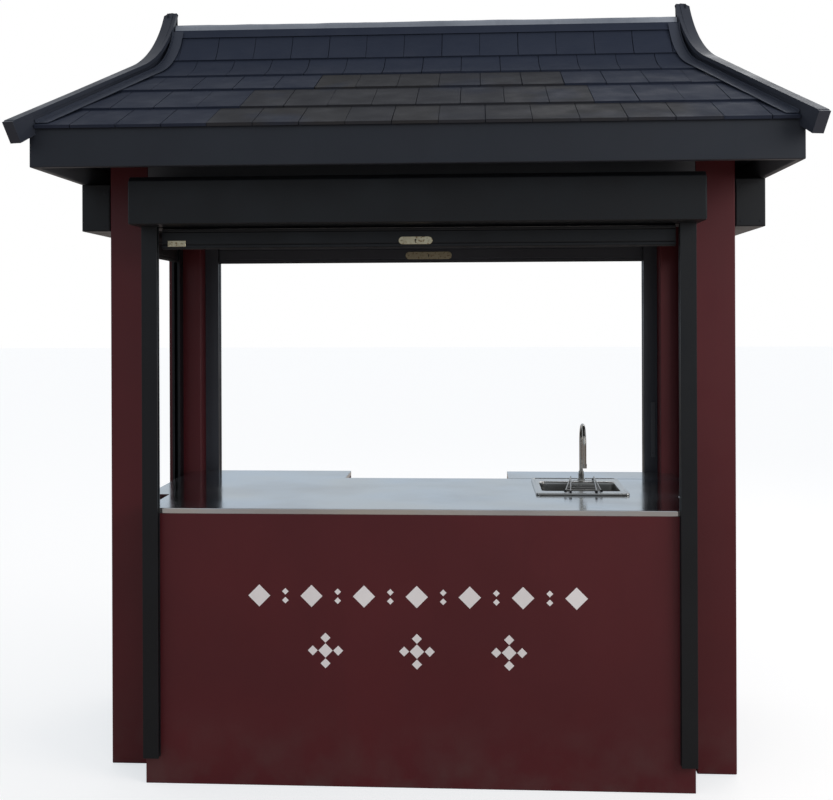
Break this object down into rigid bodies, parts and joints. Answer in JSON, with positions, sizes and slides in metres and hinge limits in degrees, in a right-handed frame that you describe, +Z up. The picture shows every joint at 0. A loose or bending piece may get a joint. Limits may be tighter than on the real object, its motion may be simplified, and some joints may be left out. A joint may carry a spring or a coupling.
{
  "type": "street kiosk",
  "caption": "Open street food kiosk with a counter, steel worktop and sink, rolled-up shutters on all sides and a curved tiled roof with horned hips.",
  "frame": {"origin": "on the ground, under the middle of the roof and of the four posts", "axes": "+Z up, +X to the right for someone who faces the front counter, front at -Y"},
  "size_m": [2.6716, 2.119, 2.9761],
  "materials": {
    "maroon_paint": "satin maroon paint, slightly uneven",
    "worktop_steel": "brushed stainless steel, nearly mirror bright",
    "rack_wire": "bright wire",
    "chrome": "polished",
    "shutter_black": "satin blue-black paint",
    "lock_brass": "dull",
    "strap_grey": "light grey, dull",
    "soffit_black": "matte near black",
    "fascia_slate": "satin slate paint",
    "roof_tile": "matte slate-coloured tile sheets",
    "flashing": "light grey, satin",
    "hip_slate": "satin slate paint"
  },
  "bodies": {
    "kiosk": {"post_front_left": "maroon_paint", "post_front_right": "maroon_paint", "post_back_left": "maroon_paint", "post_back_right": "maroon_paint", "front_panel": "maroon_paint", "side_panel_left": "maroon_paint", "side_panel_right": "maroon_paint", "back_panel_left": "maroon_paint", "back_panel_right": "maroon_paint", "recess_panel": "maroon_paint", "worktop": "worktop_steel", "sink": "worktop_steel", "dish_rack": "rack_wire", "tap_base": "chrome", "shutter_housing_front": "shutter_black", "shutter_housing_back": "shutter_black", "shutter_housing_left": "shutter_black", "shutter_housing_right": "shutter_black", "shutter_rails_front": "shutter_black", "shutter_rails_back": "shutter_black", "shutter_rails_left": "shutter_black", "shutter_rails_right": "shutter_black", "shutter_bar_front": "shutter_black", "shutter_bar_back": "shutter_black", "shutter_bar_left": "shutter_black", "shutter_bar_right": "shutter_black", "lock_plates": "lock_brass", "lock_strap": "strap_grey", "head_beams": "soffit_black", "soffit": "soffit_black", "fascia": "fascia_slate", "roof_slope_front": "roof_tile", "roof_slope_back": "roof_tile", "roof_slope_left": "roof_tile", "roof_slope_right": "roof_tile", "ridge_cap": "flashing", "hip_board_front_left": "hip_slate", "hip_board_front_right": "hip_slate", "hip_board_back_left": "hip_slate", "hip_board_back_right": "hip_slate"},
    "spout": {"tap_spout": "chrome"}
  },
  "joints": [
    {"name": "spout_swivel", "type": "hinge", "parent": "kiosk", "child": "spout", "pos_m": [0.652, 0.0595, 1.0355], "axis": [0, 0, 1], "range_deg": [-90, 90]}
  ]
}
